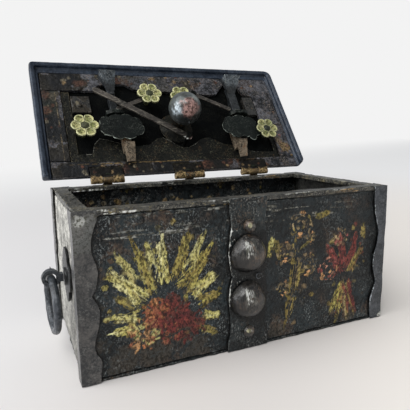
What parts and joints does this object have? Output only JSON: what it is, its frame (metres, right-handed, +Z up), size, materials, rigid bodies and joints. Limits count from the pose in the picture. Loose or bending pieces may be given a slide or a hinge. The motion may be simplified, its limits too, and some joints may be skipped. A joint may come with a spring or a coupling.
{
  "type": "iron strongbox",
  "caption": "Small iron strongbox with an open hinged lid, a bolt lock with a ball-ended key spindle on the lid's underside, and swinging ring handles.",
  "frame": {"origin": "centre of the chest's flat underside", "axes": "+X to the right seen from the front, along the longest side; -Y to the front; +Z up"},
  "size_m": [0.2492, 0.187, 0.1979],
  "materials": {
    "dark_iron": "worn, nearly black",
    "painted_front": "old dark paint with worn brush strokes",
    "strap_iron": "rubbed brown-grey",
    "side_iron": "rubbed grey",
    "rim_iron": "worn smooth",
    "blue_iron": "dark blue-grey",
    "brown_iron": "brown patina with rust",
    "rust_iron": "rusty",
    "gold_brown_iron": "golden-brown patina",
    "cover_iron": "dark green-grey",
    "ball_steel": "polished, stained brown",
    "yellow_paint": "pale yellow-green paint, chipped"
  },
  "bodies": {
    "chest": {"base_plate": "dark_iron", "wall_front": "painted_front", "wall_back": "dark_iron", "wall_left": "side_iron", "wall_right": "side_iron", "rim_front": "rim_iron", "rim_back": "rim_iron", "rim_left": "rim_iron", "rim_right": "rim_iron", "corner_strap_front_left": "strap_iron", "corner_strap_front_right": "strap_iron", "corner_strap_back_right": "strap_iron", "corner_strap_back_left": "strap_iron", "front_strap": "dark_iron", "boss_upper": "dark_iron", "boss_lower": "dark_iron", "stud_upper": "dark_iron", "stud_lower": "dark_iron", "handle_plate_left": "dark_iron", "handle_eye_left": "strap_iron", "handle_plate_right": "dark_iron", "handle_eye_right": "strap_iron", "hinge_leaf_chest_left": "strap_iron", "hinge_pin_left": "rim_iron", "hinge_leaf_chest_centre": "strap_iron", "hinge_pin_centre": "rim_iron", "hinge_leaf_chest_right": "strap_iron", "hinge_pin_right": "rim_iron"},
    "lid": {"lid_plate": "blue_iron", "lid_frame_front": "brown_iron", "lid_frame_back": "brown_iron", "lid_frame_left": "brown_iron", "lid_frame_right": "brown_iron", "hinge_leaf_lid_left": "gold_brown_iron", "hinge_leaf_lid_centre": "gold_brown_iron", "hinge_leaf_lid_right": "gold_brown_iron", "lock_plate": "rust_iron", "bracket_left": "brown_iron", "bracket_right": "brown_iron", "key_trumpet": "dark_iron", "guide_left": "cover_iron", "guide_right": "cover_iron", "cover_left": "cover_iron", "cover_right": "cover_iron", "rosette_left": "yellow_paint", "rosette_front_left": "yellow_paint", "rosette_front_right": "yellow_paint", "rosette_right": "yellow_paint"},
    "ring_left": {"ring_left": "strap_iron"},
    "ring_right": {"ring_right": "strap_iron"},
    "key": {"key_ball": "ball_steel"},
    "front_bolt_left": {"front_bolt_left": "strap_iron"},
    "front_bolt_right": {"front_bolt_right": "strap_iron"},
    "rear_bolt_left": {"rear_bolt_left": "rust_iron"},
    "rear_bolt_right": {"rear_bolt_right": "rust_iron"},
    "long_lever": {"long_lever": "strap_iron"},
    "spring_arm_right": {"spring_arm_right": "strap_iron"},
    "spring_arm_left": {"spring_arm_left": "strap_iron"},
    "keyhole_cover": {"keyhole_cover": "rim_iron"}
  },
  "joints": [
    {"name": "lid_hinge", "type": "hinge", "parent": "chest", "child": "lid", "pos_m": [0, 0.0535, 0.103], "axis": [1, 0, 0], "range_deg": [0, 126]},
    {"name": "ring_left_swing", "type": "hinge", "parent": "chest", "child": "ring_left", "pos_m": [-0.119, -0.0155, 0.0534], "axis": [-0.0732, 0.9973, 0], "range_deg": [-8, 170]},
    {"name": "ring_right_swing", "type": "hinge", "parent": "chest", "child": "ring_right", "pos_m": [0.119, -0.0155, 0.0534], "axis": [0, -1, 0], "range_deg": [-8, 170]},
    {"name": "key_turn", "type": "hinge", "parent": "lid", "child": "key", "pos_m": [0.00077, 0.08171, 0.14183], "axis": [0, -0.809, 0.5878], "range_deg": [0, 90]},
    {"name": "front_bolt_left_slide", "type": "slide", "parent": "lid", "child": "front_bolt_left", "axis": [0, 0.5878, 0.809], "range_m": [0, 0.008]},
    {"name": "front_bolt_right_slide", "type": "slide", "parent": "lid", "child": "front_bolt_right", "axis": [0, 0.5878, 0.809], "range_m": [0, 0.008]},
    {"name": "rear_bolt_left_slide", "type": "slide", "parent": "lid", "child": "rear_bolt_left", "axis": [0, -0.5878, -0.809], "range_m": [0, 0.006]},
    {"name": "rear_bolt_right_slide", "type": "slide", "parent": "lid", "child": "rear_bolt_right", "axis": [0, -0.5878, -0.809], "range_m": [0, 0.006]},
    {"name": "long_lever_turn", "type": "hinge", "parent": "lid", "child": "long_lever", "pos_m": [0.0037, 0.07125, 0.12743], "axis": [0, -0.809, 0.5878], "range_deg": [-5.7, 0]},
    {"name": "spring_arm_right_turn", "type": "hinge", "parent": "lid", "child": "spring_arm_right", "pos_m": [0.022, 0.10023, 0.16732], "axis": [0, -0.809, 0.5878], "range_deg": [0, 13]},
    {"name": "spring_arm_left_turn", "type": "hinge", "parent": "lid", "child": "spring_arm_left", "pos_m": [-0.021, 0.0977, 0.16384], "axis": [0, -0.809, 0.5878], "range_deg": [-14, 0]},
    {"name": "keyhole_cover_swing", "type": "hinge", "parent": "lid", "child": "keyhole_cover", "pos_m": [0.00077, 0.08994, 0.15316], "axis": [0, -0.809, 0.5878], "range_deg": [0, 100]}
  ],
  "couplings": [
    {"joint": "front_bolt_left_slide", "follows": "key_turn", "m_per_rad": 0.00509},
    {"joint": "front_bolt_right_slide", "follows": "key_turn", "m_per_rad": 0.00509},
    {"joint": "rear_bolt_left_slide", "follows": "key_turn", "m_per_rad": 0.00381},
    {"joint": "rear_bolt_right_slide", "follows": "key_turn", "m_per_rad": 0.00381},
    {"joint": "long_lever_turn", "follows": "key_turn", "ratio": -0.0632},
    {"joint": "spring_arm_right_turn", "follows": "key_turn", "ratio": 0.1443},
    {"joint": "spring_arm_left_turn", "follows": "key_turn", "ratio": -0.1554}
  ]
}
